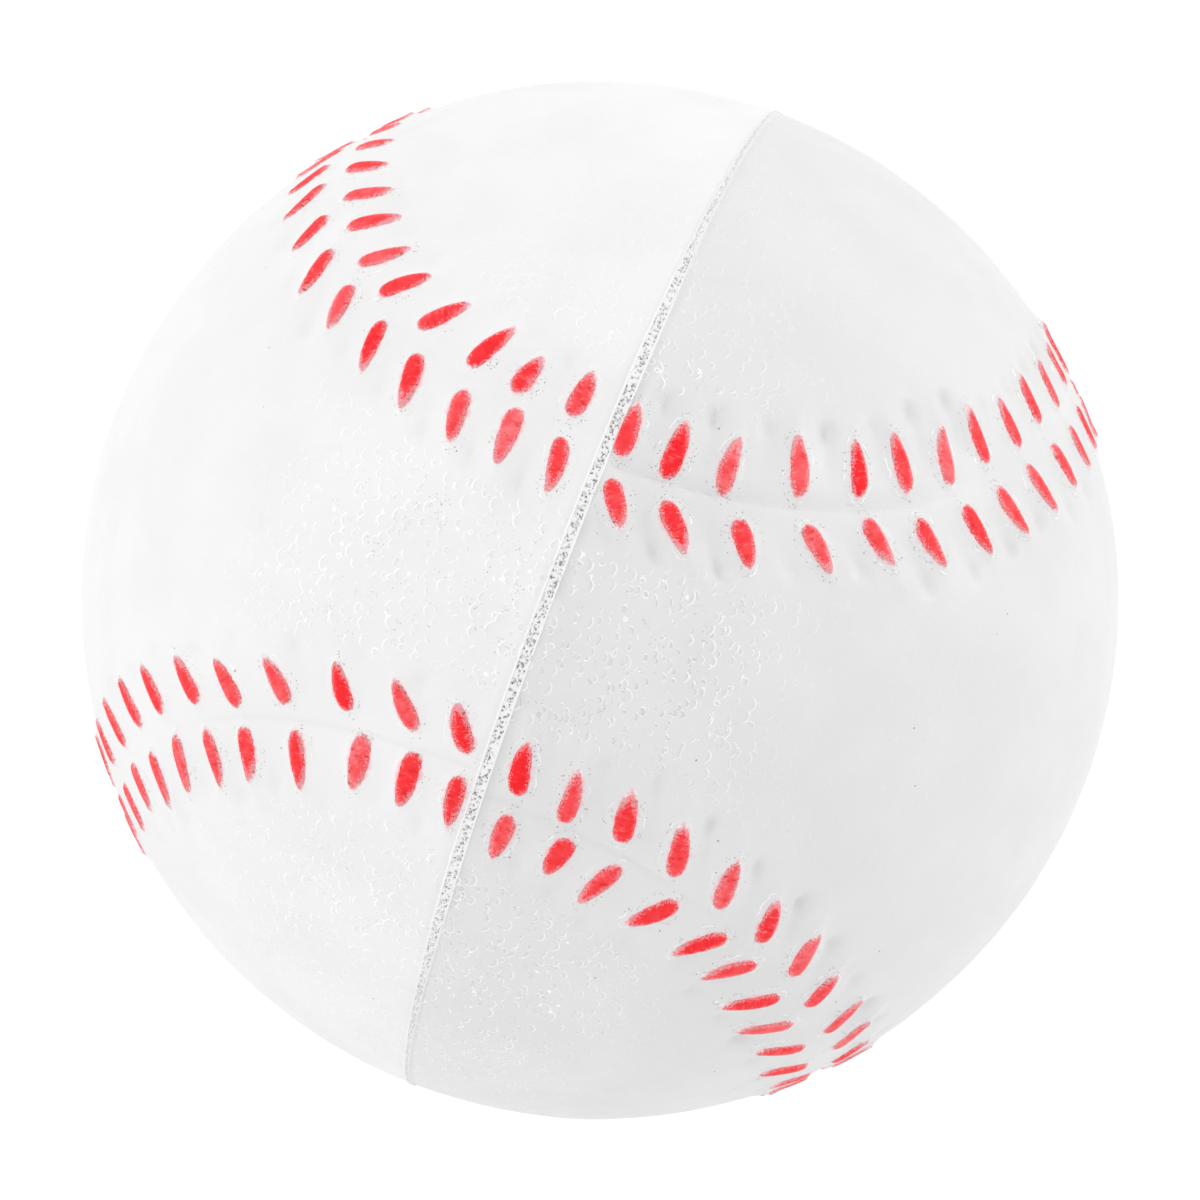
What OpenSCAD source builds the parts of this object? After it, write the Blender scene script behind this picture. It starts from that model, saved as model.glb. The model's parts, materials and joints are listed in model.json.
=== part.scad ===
// A soft baseball moulded in foam: the foam core, the two skins that formed against
// the two mould halves, and the red paint on the raised stitches.
// The origin is the middle of the ball. The mould halves part on the plane X = 0, and
// +Z comes out between the two places where the seam crosses that plane.

/* [Ball] */
// Diameter of the ball over its plain skin
ball_d = 63; // [50:1:80]
// Thickness of the dense skin over the softer foam
skin_t = 2; // [1.6:0.1:4]

/* [Parting line] */
// Width of the trimmed band of bare foam between the two skins
band_w = 0.8; // [0.4:0.1:2]
// Radius of the bead that each mould half leaves along its rim
lip_r = 0.15; // [0.1:0.05:0.3]
// Turn of one mould half against the other about the X axis, in degrees
mould_slip = 2.1; // [0:0.1:4]

/* [Seam] */
// Share of the ball's radius in the seam's main swing
main_swing_share = 0.69; // [0.65:0.01:0.75]
// Share of the ball's radius in the swing that is three times as quick
third_swing_share = 0.31; // [0.25:0.01:0.35]
// Share of the ball's radius in the swing that is five times as quick
fifth_swing_share = 0.06; // [0:0.01:0.08]
// Share of the ball's radius in the seam's rise and fall
rise_share = 1.36; // [1.2:0.02:1.5]
// Width of the crease along the seam
crease_w = 0.9; // [0.5:0.1:1]
// Depth of the crease along the seam
crease_deep = 0.25; // [0.1:0.05:0.4]

/* [Stitches] */
// Number of stitches in one row of one mould half
stitch_count = 51; // [30:1:54]
// Distance from the seam to the middle of each stitch, along the skin
row_offset = 2.1; // [2.1:0.1:2.6]
// Length of a stitch
stitch_l = 3.1; // [2.6:0.1:3.1]
// Radius of a stitch's thick end, which points to the seam
stitch_r = 0.8; // [0.6:0.05:0.9]
// Radius of a stitch's thin end
stitch_tip_r = 0.3; // [0.2:0.05:0.5]
// Height of a stitch's crest above the plain skin, paint included
stitch_h = 0.4; // [0.3:0.05:0.5]

/* [Paint] */
// Thickness of the red paint on a stitch's crest
paint_t = 0.25; // [0.1:0.01:0.3]

/* [Hidden] */

foam_colour = "lightgray";
skin_colour = "white";
paint_colour = "tomato";

ball_r = ball_d / 2;
core_r = ball_r - skin_t;
half_turn = 180;

// Facets of the ball's own spheres, and of the small round parts
ball_facets = 240;
small_facets = 96;

// The crease is swept through this many places in one mould half
crease_places = 90;
// Places along half the seam at which its length is added up
length_places = 360;
// Step on the seam, in degrees, that gives its direction
seam_step = 0.1;

// The row on the panel whose waist is on top starts this share of a gap from the
// parting line, and the row on the other panel starts this share from it
top_start_share = 0.5;
bottom_start_share = 0.33;

// How the hand-cut rows wander from even gaps: a share of the row's length, and the
// shift there as a share of a gap
top_wander_shares = [[0, 0], [0.84, 0], [0.92, 0.38], [0.96, 0.3], [1, 0]];
bottom_wander_shares = [
  [0, 0], [0.02, -0.15], [0.04, -0.3], [0.06, 0], [0.94, 0], [0.96, 0.15], [0.98, 0], [1, 0]
];

// How far the stitches lean along the seam: a share of the row's length, and the lean
// there in degrees
top_leans = [[0, 33], [0.12, 17], [0.5, 25], [0.9, 34], [0.96, 20], [1, 8]];
bottom_leans = [[0, 2], [0.2, 6], [0.5, 20], [0.82, 37], [0.94, 23], [1, 1]];

function unit(v) = v / norm(v);

// Direction from the ball's middle to the seam. Half a turn goes once along the seam
// of the right mould half, from the upper crossing to the lower one.
function seam(turn) = unit([
  main_swing_share * sin(turn) + third_swing_share * sin(3 * turn) + fifth_swing_share * sin(5 * turn),
  main_swing_share * cos(turn) - third_swing_share * cos(3 * turn) + fifth_swing_share * cos(5 * turn),
  rise_share * cos(2 * turn)
]);

// Direction in which the seam runs
function along(turn) = unit(seam(turn + seam_step) - seam(turn - seam_step));

// Length of the seam up to each place, on a ball with a radius of 1
seam_lengths = [
  for (i = 0, run = 0; i <= length_places;
    i = i + 1,
    run = run + norm(seam(half_turn * i / length_places) - seam(half_turn * (i - 1) / length_places)))
  [run, half_turn * i / length_places]
];
half_seam = seam_lengths[length_places][0];
gap = half_seam / stitch_count;

// Turn on the seam of stitch i in a row
function stitch_turn(i, start_share, wander_shares) = lookup(
  gap * (i + start_share + lookup(i / (stitch_count - 1), wander_shares)),
  seam_lengths
);

// Puts its child on the ball at a stitch's middle: Z up from the skin, Y along the
// stitch, away from the seam. side is 1 for the panel with its waist on top.
module on_row(turn, side, lean) {
  on_seam = seam(turn);
  run = along(turn);
  out = cross(run, on_seam) * side;
  reach = row_offset / ball_r * half_turn / PI;
  up = unit(on_seam * cos(reach) + out * sin(reach));
  aim = out * cos(lean) + run * sin(lean);
  fore = unit(aim - up * (aim * up));
  right = cross(fore, up);
  multmatrix([
    [right[0], fore[0], up[0], up[0] * ball_r],
    [right[1], fore[1], up[1], up[1] * ball_r],
    [right[2], fore[2], up[2], up[2] * ball_r],
    [0, 0, 0, 1]
  ])
    children();
}

// One moulded stitch: a round thick end, a taper and a round thin end, turned in one
// profile and half sunk in the skin with its crest level
module stitch() {
  taper_l = stitch_l - stitch_r - stitch_tip_r;
  dip = asin((stitch_r - stitch_tip_r) / taper_l);
  translate([0, stitch_r - stitch_l / 2, stitch_h - stitch_r])
    rotate([dip - 90, 0, 0])
      rotate_extrude($fn = small_facets)
        intersection() {
          union() {
            circle(r = stitch_r, $fn = small_facets);
            polygon([[0, 0], [stitch_r, 0], [stitch_tip_r, taper_l], [0, taper_l]]);
            translate([0, taper_l])
              circle(r = stitch_tip_r, $fn = small_facets);
          }
          translate([0, -stitch_l])
            square([stitch_l, 3 * stitch_l]);
        }
}

// The block above the level at which the paint on a stitch's crest starts
module crest() {
  translate([-stitch_l, -stitch_l, stitch_h - paint_t])
    cube(2 * stitch_l);
}

// The moulded stitch under its paint
module bare_stitch() {
  difference() {
    stitch();
    crest();
  }
}

// The paint on one stitch
module stitch_paint() {
  intersection() {
    stitch();
    crest();
  }
}

// The row of the right mould half on the panel with its waist on top: one child at
// each stitch
module top_row() {
  for (i = [0:stitch_count - 1])
    on_row(stitch_turn(i, top_start_share, top_wander_shares), 1, lookup(i / (stitch_count - 1), top_leans))
      children();
}

// The row of the right mould half on the other panel
module bottom_row() {
  for (i = [0:stitch_count - 1])
    on_row(stitch_turn(i, bottom_start_share, bottom_wander_shares), -1,
      lookup(i / (stitch_count - 1), bottom_leans))
      children();
}

// The half of space on the right of a plane this far from the parting plane
module right_of(x) {
  translate([x, -ball_d, -ball_d])
    cube(2 * ball_d);
}

// The wedge that cuts the crease of the right mould half, from just past the upper
// crossing to just past the lower one
module crease() {
  past = half_turn / crease_places;
  rows = [
    for (i = [-1:crease_places + 1])
      let (turn = past * i, mid = seam(turn), out = cross(along(turn), mid))
        [
          mid * (ball_r - crease_deep),
          mid * (ball_r + crease_deep) + out * crease_w,
          mid * (ball_r + crease_deep) - out * crease_w
        ]
  ];
  last = len(rows) - 1;
  walls = [
    for (i = [0:last - 1], k = [0:2])
      let (a = 3 * i + k, b = 3 * i + (k + 1) % 3)
        each [[a, b, a + 3], [b, b + 3, a + 3]]
  ];
  polyhedron(
    points = [for (row = rows) each row],
    faces = concat([[0, 2, 1]], walls, [[3 * last, 3 * last + 1, 3 * last + 2]])
  );
}

// The bead that the mould's rim leaves along the parting line
module lip() {
  translate([band_w / 2 + lip_r / 2, 0, 0])
    rotate([0, 90, 0])
      rotate_extrude($fn = ball_facets)
        translate([ball_r, 0])
          circle(r = lip_r, $fn = small_facets);
}

// The skin of the right mould half, before the halves slip
module skin_half() {
  difference() {
    union() {
      sphere(r = ball_r, $fn = ball_facets);
      lip();
      top_row()
        bare_stitch();
      bottom_row()
        bare_stitch();
    }
    sphere(r = core_r, $fn = ball_facets);
    crease();
    mirror([1, 0, 0])
      right_of(-band_w / 2);
  }
}

// Paint ends short of the bead along the rim
module row_paint() {
  intersection() {
    children();
    right_of(band_w / 2 + 2 * lip_r);
  }
}

// The right mould half, turned by its share of the slip
module right_half() {
  rotate([mould_slip / 2, 0, 0])
    children();
}

// The left mould half is the same cut, turned half round the Z axis
module left_half() {
  rotate([0, 0, half_turn])
    right_half()
      children();
}

// The foam fills the skins and shows between them where its flash was trimmed off
module foam_core() {
  color(foam_colour)
    union() {
      sphere(r = core_r, $fn = ball_facets);
      translate([-band_w / 2, 0, 0])
        rotate([0, 90, 0])
          cylinder(h = band_w, r = ball_r, $fn = ball_facets);
    }
}

module left_skin() {
  color(skin_colour)
    left_half()
      skin_half();
}

module right_skin() {
  color(skin_colour)
    right_half()
      skin_half();
}

module left_top_row_paint() {
  color(paint_colour)
    left_half()
      row_paint()
        top_row()
          stitch_paint();
}

module left_bottom_row_paint() {
  color(paint_colour)
    left_half()
      row_paint()
        bottom_row()
          stitch_paint();
}

module right_top_row_paint() {
  color(paint_colour)
    right_half()
      row_paint()
        top_row()
          stitch_paint();
}

module right_bottom_row_paint() {
  color(paint_colour)
    right_half()
      row_paint()
        bottom_row()
          stitch_paint();
}

foam_core();
left_skin();
right_skin();
left_top_row_paint();
left_bottom_row_paint();
right_top_row_paint();
right_bottom_row_paint();
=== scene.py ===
"""A soft baseball moulded in foam, dressed for its photograph.

Two moulded skins with raised stitches, dabs of red paint on the stitches, and the foam
core, which shows in a trimmed band between the skins. All lengths are in metres. The
origin is the middle of the ball, and the mould halves part on the plane X = 0.
"""
import json
import math

import bpy
import numpy as np
from bpy.props import FloatProperty, FloatVectorProperty, IntProperty, PointerProperty
from mathutils import Matrix, Vector
from mathutils.kdtree import KDTree

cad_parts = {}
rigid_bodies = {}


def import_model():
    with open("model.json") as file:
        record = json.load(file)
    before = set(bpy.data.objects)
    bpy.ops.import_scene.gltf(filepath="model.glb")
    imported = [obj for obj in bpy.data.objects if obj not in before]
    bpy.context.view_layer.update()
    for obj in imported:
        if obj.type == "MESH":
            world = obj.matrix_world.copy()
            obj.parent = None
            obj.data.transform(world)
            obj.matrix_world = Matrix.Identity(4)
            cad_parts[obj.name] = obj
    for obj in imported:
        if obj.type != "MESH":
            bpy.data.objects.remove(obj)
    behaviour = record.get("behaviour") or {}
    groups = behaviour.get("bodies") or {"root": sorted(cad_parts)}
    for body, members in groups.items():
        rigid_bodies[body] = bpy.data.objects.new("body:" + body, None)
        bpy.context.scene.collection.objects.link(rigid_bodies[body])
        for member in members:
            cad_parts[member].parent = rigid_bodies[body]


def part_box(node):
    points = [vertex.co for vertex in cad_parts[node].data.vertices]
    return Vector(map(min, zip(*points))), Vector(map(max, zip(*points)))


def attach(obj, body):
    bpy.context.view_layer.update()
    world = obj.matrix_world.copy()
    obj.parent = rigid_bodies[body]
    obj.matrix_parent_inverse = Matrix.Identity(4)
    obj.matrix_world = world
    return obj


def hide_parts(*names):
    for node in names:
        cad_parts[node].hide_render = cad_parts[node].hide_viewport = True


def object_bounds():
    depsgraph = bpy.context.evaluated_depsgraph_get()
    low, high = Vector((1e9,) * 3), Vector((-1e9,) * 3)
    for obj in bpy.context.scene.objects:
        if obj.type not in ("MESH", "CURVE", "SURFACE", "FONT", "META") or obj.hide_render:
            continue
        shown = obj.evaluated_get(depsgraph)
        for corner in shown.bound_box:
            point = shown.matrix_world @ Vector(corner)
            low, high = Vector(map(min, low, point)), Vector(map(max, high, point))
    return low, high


bl_info = {
    "name": "Foam baseball",
    "version": (1, 0, 0),
    "blender": (4, 5, 0),
    "location": "View3D > Sidebar > Baseball",
    "description": "Models a soft moulded baseball and its studio",
    "category": "Object",
}

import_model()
CAD_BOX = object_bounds()

MM = 0.001
LEFT, RIGHT = "left", "right"
TOP, BOTTOM = 1, -1

# The core's box reaches the bare foam's rim in Z and the middle of the skins in X
CORE_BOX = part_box("foam_core")
BALL_R = CORE_BOX[1][2]
CORE_R = CORE_BOX[1][0]
BAND_W = 2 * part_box("right_skin")[0][0]


# Sizes and colours

def length(name, description, default):
    """A property that holds a length."""
    return FloatProperty(name=name, description=description, default=default,
                         subtype="DISTANCE", unit="LENGTH", precision=5)


def share(name, description, default):
    """A property that holds a share of something else."""
    return FloatProperty(name=name, description=description, default=default,
                         subtype="FACTOR", precision=3)


def colour(name, description, default):
    """A property that holds a colour."""
    return FloatVectorProperty(name=name, description=description, default=default,
                               subtype="COLOR", size=3, min=0, max=1)


class BallSizes(bpy.types.PropertyGroup):
    """Sizes of the ball and of its parting line."""
    radius: length("Ball radius", "Radius over the plain skin", BALL_R)
    core_radius: length("Core radius", "Radius of the foam under the skins", CORE_R)
    band_width: length("Band width", "Width of the trimmed band of bare foam", 0.72 * BAND_W)
    lip_width: length("Lip width", "Width of the bead along each skin's rim", 0.085 * MM)
    lip_height: length("Lip height", "Height of the bead along each skin's rim", 0.06 * MM)
    slip: FloatProperty(name="Mould slip", description="Turn of one mould half against the other",
                        default=math.radians(2.1), subtype="ANGLE")
    pit_depth: length("Pit depth", "Depth of the cut foam cells in the band", 0.16 * MM)
    pit_radius: length("Pit radius", "Radius of a cut foam cell in the band", 0.062 * MM)


class SeamSizes(bpy.types.PropertyGroup):
    """The curve of the seam, as shares of the ball's radius, and its crease."""
    main_swing: share("Main swing", "The seam's main swing", 0.69)
    third_swing: share("Third swing", "The swing that is three times as quick", 0.31)
    fifth_swing: share("Fifth swing", "The swing that is five times as quick", 0.06)
    rise: share("Rise", "The seam's rise and fall", 1.36)
    crease_depth: length("Crease depth", "Depth of the crease along the seam", 0.34 * MM)
    steep_width: length("Steep side", "Width of the crease's steep side", 0.3 * MM)
    gentle_width: length("Gentle side", "Width of the crease's gentle side", 1.2 * MM)


class StitchSizes(bpy.types.PropertyGroup):
    """Sizes of the raised stitches and of the puckers beside them."""
    count: IntProperty(name="Stitches in a row", description="Stitches in one row of one half",
                       default=51, min=30, max=60)
    row_offset: length("Row offset", "From the seam to a stitch's middle", 2.1 * MM)
    length: length("Stitch length", "Length of a stitch", 3.1 * MM)
    width: length("Stitch width", "Greatest width of a stitch", 1.09 * MM)
    height: length("Stitch height", "Height of a stitch over its pad", 0.085 * MM)
    pad_height: length("Pad height", "Height of the soft pad round a stitch", 0.13 * MM)
    pad_reach: length("Pad reach", "How far the pad reaches past a stitch", 0.6 * MM)
    shift_left: length("Shift left", "Shift of both halves' rows towards the left", 0.17 * MM)
    shift_up: length("Shift up", "Shift of both halves' rows towards the waist on top", 0.4 * MM)
    pucker: length("Pucker depth", "Depth of the hollows between the stitches", 0.5 * MM)
    finger: length("Finger height", "Height of the ridge beyond a stitch's tip", 0.15 * MM)
    paint: length("Paint thickness", "Thickness of the paint on a stitch", 0.03 * MM)


class GrainSizes(bpy.types.PropertyGroup):
    """Sizes of the pebble grain."""
    pitch: length("Pebble pitch", "Distance between pebbles", 1.1 * MM)
    radius: length("Pebble radius", "Radius of a pebble", 0.46 * MM)
    height: length("Pebble height", "Height of a pebble", 0.03 * MM)
    scale: length("Scale pitch", "Distance between the fine scales", 0.62 * MM)
    smooth_strip: length("Smooth strip", "Bare strip on each side of the seam", 3.7 * MM)


class Finish(bpy.types.PropertyGroup):
    """Colours of the ball."""
    left_skin: colour("Left skin", "Colour of the left skin", (0.88, 0.88, 0.88))
    right_skin: colour("Right skin", "Colour of the right skin", (0.785, 0.785, 0.785))
    paint: colour("Paint", "Colour of the paint where it is thick", (1.0, 0.02, 0.027))
    thin_paint: colour("Thin paint", "Colour of the paint where it is thin", (0.97, 0.45, 0.48))
    foam: colour("Foam", "Colour of the cut foam", (0.95, 0.95, 0.95))
    # The pit colour is painted shade deep in a cut foam cell
    foam_pit_shade: colour("Foam pit", "Colour deep in a cut foam cell", (0.38, 0.38, 0.38))


class StudioSettings(bpy.types.PropertyGroup):
    """Camera, lamps and floor."""
    camera_distance: length("Camera distance", "From the ball's middle to the camera", 0.2741)
    view_angle: FloatProperty(name="View angle", description="The camera's field of view",
                              default=2 * math.atan(0.13382), subtype="ANGLE")
    ambient: FloatProperty(name="Ambient", description="Brightness of the room", default=0.945)
    left_lamp: FloatProperty(name="Left lamp", description="Power of the left soft box",
                             default=0.33, unit="POWER")
    right_lamp: FloatProperty(name="Right lamp", description="Power of the right soft box",
                              default=0.75, unit="POWER")
    floor_width: length("Floor width", "Width of the floor", 1.6)


# Small helpers

def pick_nothing():
    """Deselect every object."""
    if bpy.context.object and bpy.context.object.mode != "OBJECT":
        leave()
    bpy.ops.object.select_all(action="DESELECT")


def pick(piece):
    """Select one piece and make it active."""
    pick_nothing()
    piece.select_set(True)
    bpy.context.view_layer.objects.active = piece


def edit(piece, select="VERT"):
    """Open a piece in edit mode, to select vertices or edges."""
    pick(piece)
    bpy.ops.object.mode_set(mode="EDIT")
    bpy.ops.mesh.select_mode(type=select)


def leave():
    """Leave edit mode."""
    bpy.ops.object.mode_set(mode="OBJECT")


def edit_open_edges(piece):
    """Open a piece in edit mode with its open edges selected."""
    edit(piece, "EDGE")
    bpy.ops.mesh.select_all(action="DESELECT")
    bpy.ops.mesh.select_non_manifold()


def edge_ends(piece):
    """The places of both ends of each edge across X."""
    ends = np.empty(len(piece.data.edges) * 2, dtype=np.int32)
    piece.data.edges.foreach_get("vertices", ends)
    return read_points(piece)[ends.reshape(-1, 2), 0]


def edit_edges(piece, chosen):
    """Open a piece in edit mode with these edges selected and nothing else."""
    for group in (piece.data.polygons, piece.data.vertices):
        group.foreach_set("select", np.zeros(len(group), dtype=bool))
    piece.data.edges.foreach_set("select", chosen)
    bpy.context.tool_settings.mesh_select_mode = (False, True, False)
    bpy.ops.object.mode_set(mode="EDIT")


def read_points(piece):
    """The places of a piece's vertices."""
    flat = np.empty(len(piece.data.vertices) * 3)
    piece.data.vertices.foreach_get("co", flat)
    return flat.reshape(-1, 3)


def write_points(piece, places):
    """Move a piece's vertices to these places."""
    piece.data.vertices.foreach_set("co", np.ascontiguousarray(places).ravel())
    piece.data.update()


def write_marks(piece, name, values):
    """Keep one number for each vertex, for the piece's material."""
    layer = piece.data.attributes.new(name, "FLOAT", "POINT")
    layer.data.foreach_set("value", np.ascontiguousarray(values, dtype=np.float32))


def units(vectors):
    """The same vectors with a length of 1."""
    return vectors / np.linalg.norm(vectors, axis=-1, keepdims=True)


def ease(low, high, value):
    """Smooth step from 0 at low to 1 at high."""
    part = np.clip((value - low) / (high - low), 0, 1)
    return part * part * (3 - 2 * part)


def bell(value, width):
    """A soft bump: 1 at 0 and nearly 0 at twice this width."""
    return np.exp(-(value / width) ** 2)


def half_turns(half):
    """The matrix that sets a mould half's own shape in its place on the ball."""
    slip = Matrix.Rotation(bpy.context.scene.ball_sizes.slip / 2, 3, "X")
    if half == LEFT:
        slip = Matrix.Rotation(math.pi, 3, "Z") @ slip
    return np.array(slip)


# Seeds of what is drawn by chance, apart from the rows of stitches
PEBBLE_SEED, PATCH_SEED, WAVE_SEED, RIPPLE_SEED, SWAY_SEED, CELL_SEED = 5, 6, 7, 8, 9, 11


def half_seed(half, extra):
    """A fixed seed for one mould half."""
    return np.random.default_rng(extra * 10 + (1 if half == LEFT else 2))


# The seam and its stitches

# How the first eleven and the last ten hand-cut stitches of a row stray from an even
# row: along the seam and away from it in millimetres, and in lean in degrees. Their
# lengths are in millimetres too. Those between them are drawn.
FIRST_STRAYS, LAST_STRAYS = 11, 10
TOP_STRAYS = (
    (0, -0.3, -0.15, 0.35, 0.3, 0, 0, -0.3, -0.3, -0.1, 0,
     -0.3, -0.2, 0.2, 0.15, 0, -0.2, -0.15, -0.1, -0.15, -0.1),
    (-0.15, 0.1, 0.25, 0.1, -0.1, 0.45, 0.5, 0.45, 0.2, 0, 0.1,
     0.2, 0.1, -0.2, 0.1, -0.15, -0.15, -0.1, 0.1, -0.25, 0.1),
    (-3, 6, -5, 6, 5, 3, 3, 5, 7, 5, 0, 4, 4, 1, 4, 4, -1, 3, 0, -6, 2),
)
BOTTOM_STRAYS = (
    (-0.1, -0.1, 0.1, -0.1, 0.35, 0, 0, -0.15, -0.2, -0.2, 0,
     -0.3, -0.1, 0.2, 0, 0.15, -0.25, 0.15, 0.1, 0.15, 0.1),
    (0.2, -0.1, -0.2, 0.25, 0.15, 0.1, -0.1, 0.2, -0.15, 0.25, 0,
     0, -0.15, 0, -0.1, -0.4, -0.3, 0, 0.1, -0.3, 0),
    (-2, 4, 5, -2, 4, -1, 11, 4, -1, 3, 3, 4, 7, 0, -1, -3, -1, 0, -4, -2, 0),
)
TOP_LENGTHS = (2.8, 3, 2.7, 2.9, 3, 3.1, 3.2, 3.4, 3.6, 3.3, 3.1,
               3.1, 3.3, 2.9, 3.3, 3, 3.2, 3.3, 3.1, 3.3, 3.1)
BOTTOM_LENGTHS = (3.2, 3.3, 3.3, 3.4, 3.2, 3.4, 3.4, 3.4, 3, 3, 3,
                  3.6, 3.6, 3.6, 3.6, 3.2, 3.1, 3.1, 3.2, 2.5, 2.9)

# How far the drawn ones stray along the seam and away from it, the spread of their
# lean and their lengths, in the same units, and the number of stitches over which a
# known end's drift fades
DRAWN_ALONG, DRAWN_OUT, DRAWN_LEAN, DRAWN_LENGTH = (-0.25, 0.25), (-0.2, 0.3), 3, (2.8, 3.5)
DRIFT, DRIFT_FADE = 0.5, 3
# The length that the lists above are for, and the spread of the widths and the bends
LISTED_LENGTH = 3.1 * MM
WIDTH_SPREAD, BEND_SPREAD = 0.12, 0.16

# Each row's start as a share of a gap, how its gaps wander and how its stitches lean in
# degrees, both at shares of the row's length, and its strays, lengths and seed
ROWS = {
    TOP: (0.5, ((0, 0.84, 0.92, 0.96, 1), (0, 0, 0.38, 0.3, 0)),
          ((0, 0.12, 0.5, 0.9, 0.96, 1), (33, 17, 25, 34, 20, 8)),
          TOP_STRAYS, TOP_LENGTHS, 3),
    BOTTOM: (0.33, ((0, 0.02, 0.04, 0.06, 0.94, 0.96, 0.98, 1),
                    (0, -0.15, -0.3, 0, 0, 0.15, 0, 0)),
             ((0, 0.2, 0.5, 0.82, 0.94, 1), (2, 6, 20, 37, 23, 1)),
             BOTTOM_STRAYS, BOTTOM_LENGTHS, 4),
}


def seam_directions(turn):
    """Directions from the ball's middle to the seam at these turns, in radians."""
    seam = bpy.context.scene.seam_sizes
    return units(np.stack([
        seam.main_swing * np.sin(turn) + seam.third_swing * np.sin(3 * turn)
        + seam.fifth_swing * np.sin(5 * turn),
        seam.main_swing * np.cos(turn) - seam.third_swing * np.cos(3 * turn)
        + seam.fifth_swing * np.cos(5 * turn),
        seam.rise * np.cos(2 * turn),
    ], axis=-1))


# Step on the seam, in radians, that gives its direction, and the places that its length
# is added up at
SEAM_STEP, LENGTH_PLACES = 0.002, 721


def seam_runs(turn):
    """Directions in which the seam runs at these turns."""
    return units(seam_directions(turn + SEAM_STEP) - seam_directions(turn - SEAM_STEP))


def seam_lengths():
    """Turns along one mould half, and the seam's length up to each on a unit ball."""
    turn = np.linspace(0, math.pi, LENGTH_PLACES)
    steps = np.linalg.norm(np.diff(seam_directions(turn), axis=0), axis=1)
    return turn, np.concatenate([[0], np.cumsum(steps)])


def known_ends(ends, middle):
    """A list for a whole row: known values at both ends and drawn ones between them."""
    return np.concatenate([ends[:FIRST_STRAYS], middle, ends[FIRST_STRAYS:]])


def row_of_stitches(half, side):
    """Frames and sizes of the stitches in one row, in the mould half's own frame."""
    sizes = bpy.context.scene.stitch_sizes
    ball_r = bpy.context.scene.ball_sizes.radius
    start, wander, leans, strays, lengths, row_seed = ROWS[side]
    seed = half_seed(half, row_seed)
    drawn = sizes.count - FIRST_STRAYS - LAST_STRAYS
    beyond = np.exp(-np.arange(drawn) / DRIFT_FADE)
    stray_along = known_ends(strays[0], seed.uniform(*DRAWN_ALONG, drawn)
                             + DRIFT * (beyond - beyond[::-1])) * MM / ball_r
    stray_out = known_ends(strays[1], seed.uniform(*DRAWN_OUT, drawn)) * MM / ball_r
    stray_lean = known_ends(strays[2], seed.normal(0, DRAWN_LEAN, drawn))
    order = np.arange(sizes.count)
    along_row = order / (sizes.count - 1)
    turn, run_so_far = seam_lengths()
    gap = run_so_far[-1] / sizes.count
    turns = np.interp(gap * (order + start + np.interp(along_row, *wander)), run_so_far, turn)
    mid = seam_directions(turns)
    run = seam_runs(turns)
    out = np.cross(run, mid) * side
    reach = sizes.row_offset / ball_r
    up = (mid * math.cos(reach) + out * (math.sin(reach) + stray_out[:, None])
          + run * stray_along[:, None])
    up[:, 0] += sizes.shift_left / ball_r * (1 if half == LEFT else -1)
    up[:, 2] += sizes.shift_up / ball_r
    up = units(up)
    lean = np.radians(np.interp(along_row, *leans) + stray_lean)[:, None]
    aim = out * np.cos(lean) + run * np.sin(lean)
    fore = units(aim - up * np.sum(aim * up, axis=1, keepdims=True))
    return {
        "up": up,
        "fore": fore,
        "right": np.cross(fore, up),
        "length": (known_ends(lengths, seed.uniform(*DRAWN_LENGTH, drawn)) * MM
                   * (1.01 * sizes.length / LISTED_LENGTH)),
        "width": sizes.width * (1 + seed.uniform(-WIDTH_SPREAD, WIDTH_SPREAD, sizes.count)),
        "bend": seed.uniform(-BEND_SPREAD, BEND_SPREAD, sizes.count),
        "deep": seed.uniform(0.35, 1, sizes.count) * (1 if half == RIGHT else 0.6),
        "far": seed.uniform(0, 1, sizes.count),
    }


# How bluntly a stitch starts at the seam and how slowly it narrows to its tip
BUTT, TAPER = 0.52, 0.86
WIDEST = BUTT / (BUTT + TAPER)
FULL = WIDEST ** BUTT * (1 - WIDEST) ** TAPER


def outline_width(part):
    """Half width of a stitch, as a share of its greatest, from its seam end to its tip."""
    part = np.clip(part, 0, 1)
    return part ** BUTT * (1 - part) ** TAPER / FULL


def bend_at(row, i, part):
    """How far aside stitch i's middle line lies at this share of its length."""
    return row["bend"][i] * (part - 0.45) ** 2 * row["length"][i]


def stitch_inside(row, i, fore, right):
    """How far each place lies inside the outline of stitch i. It is negative outside."""
    part = fore / row["length"][i] + 0.5
    side = right - bend_at(row, i, part)
    past = np.maximum(0, np.maximum(-part, part - 1)) * row["length"][i]
    return row["width"][i] / 2 * outline_width(part) - np.hypot(side, past)


# The relief of a skin

def near_seam(towards):
    """Each place's signed distance from the seam and the seam's turn there.

    The distance is positive on the top panel's side.
    """
    ball_r = bpy.context.scene.ball_sizes.radius
    turn = np.radians(np.arange(-8, 188, 0.125))
    mid = seam_directions(turn)
    out = np.cross(seam_runs(turn), mid)
    nearest = np.empty(len(towards), dtype=np.int64)
    at_once = 8192
    for start in range(0, len(towards), at_once):
        part = towards[start:start + at_once].astype(np.float32)
        nearest[start:start + at_once] = np.argmax(part @ mid.T.astype(np.float32), axis=1)
    angle = np.arccos(np.clip(np.sum(towards * mid[nearest], axis=1), -1, 1))
    sign = np.sign(np.sum(towards * out[nearest], axis=1))
    return ball_r * angle * sign, turn[nearest]


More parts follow.
